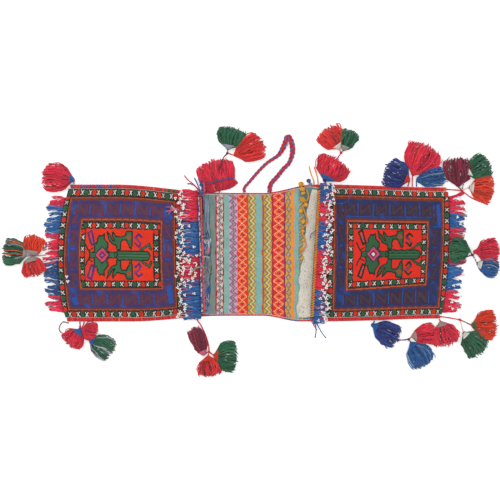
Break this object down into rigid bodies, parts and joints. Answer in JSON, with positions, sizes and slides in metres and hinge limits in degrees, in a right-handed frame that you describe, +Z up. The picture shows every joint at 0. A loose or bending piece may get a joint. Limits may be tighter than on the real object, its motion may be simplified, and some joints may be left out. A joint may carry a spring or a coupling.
{
  "type": "kilim_saddle_bag",
  "caption": "Flat-woven wool double saddle bag laid flat, with patterned pouches, a striped bridge, fringes, a braided loop and yarn tassels.",
  "frame": {"origin": "On the flat underside of the bridge between the two pouches, at the middle of the strip, on the floor that the bag lies on.", "axes": "X runs along the strip from one pouch to the other, Y across it towards the edge with the handle loop, and Z up from the floor, out of the patterned faces."},
  "size_m": [1.4871, 0.7472, 0.031],
  "materials": {
    "blue_yarn": "loose wool yarn, matte",
    "crimson_yarn": "loose wool yarn, matte",
    "edge_wool": "wrapped wool yarn, matte",
    "green_yarn": "loose wool yarn, matte",
    "grey_yarn": "plied wool yarn, matte",
    "kilim": "flat-woven wool, patterned, matte",
    "maroon_yarn": "loose wool yarn, matte",
    "navy_yarn": "loose wool yarn, matte",
    "orange_yarn": "loose wool yarn, matte",
    "red_yarn": "plied wool yarn, matte",
    "undyed_cotton": "undyed plain weave, matte",
    "white_bead": "small glossy white bead",
    "yellow_yarn": "plied wool yarn, matte"
  },
  "bodies": {
    "root": {"woven_strip": "kilim", "upper_edge_binding": "edge_wool", "lower_edge_binding": "edge_wool", "left_mouth_braid": "red_yarn", "right_mouth_whipping": "yellow_yarn", "cream_mouth_flap": "undyed_cotton", "left_mouth_fringe": "crimson_yarn", "right_mouth_fringe": "blue_yarn", "left_end_fringe": "crimson_yarn", "right_end_fringe": "blue_yarn", "left_bead_row": "white_bead", "right_bead_row": "white_bead", "left_end_cord": "grey_yarn", "low_left_cord": "blue_yarn", "low_middle_cord": "red_yarn", "top_middle_cord": "maroon_yarn", "top_right_cord": "maroon_yarn", "corner_cord": "crimson_yarn", "corner_strand": "crimson_yarn", "right_end_cord": "maroon_yarn", "low_right_cord": "maroon_yarn", "low_corner_cord": "crimson_yarn", "handle_loop": "red_yarn", "closure_loops": "yellow_yarn", "left_tie": "yellow_yarn", "right_tie": "yellow_yarn", "left_end_green_tassel": "green_yarn", "low_left_green_tassel": "green_yarn", "low_middle_green_tassel": "green_yarn", "top_middle_green_tassel": "green_yarn", "top_right_green_tassel": "green_yarn", "corner_green_tassel": "green_yarn", "right_end_green_tassel": "green_yarn", "low_corner_green_tassel": "green_yarn", "left_end_orange_tassel": "orange_yarn", "corner_orange_tassel": "orange_yarn", "low_corner_orange_tassel": "orange_yarn", "left_end_crimson_tassel": "crimson_yarn", "top_left_crimson_tassel": "crimson_yarn", "low_left_crimson_tassel": "crimson_yarn", "low_left_small_tassel": "crimson_yarn", "top_middle_crimson_tassel": "crimson_yarn", "top_right_crimson_tassel": "crimson_yarn", "far_right_crimson_tassel": "crimson_yarn", "right_end_crimson_tassel": "crimson_yarn", "low_right_crimson_tassel": "crimson_yarn", "low_corner_crimson_tassel": "crimson_yarn", "low_middle_maroon_tassel": "maroon_yarn", "corner_maroon_tassel": "maroon_yarn", "low_middle_red_tassel": "red_yarn", "top_middle_red_tassel": "red_yarn", "top_right_red_tassel": "red_yarn", "far_right_navy_tassel": "navy_yarn", "low_right_navy_tassel": "navy_yarn", "far_right_blue_tassel": "blue_yarn", "right_end_blue_tassel": "blue_yarn", "low_right_blue_tassel": "blue_yarn"}
  },
  "joints": []
}
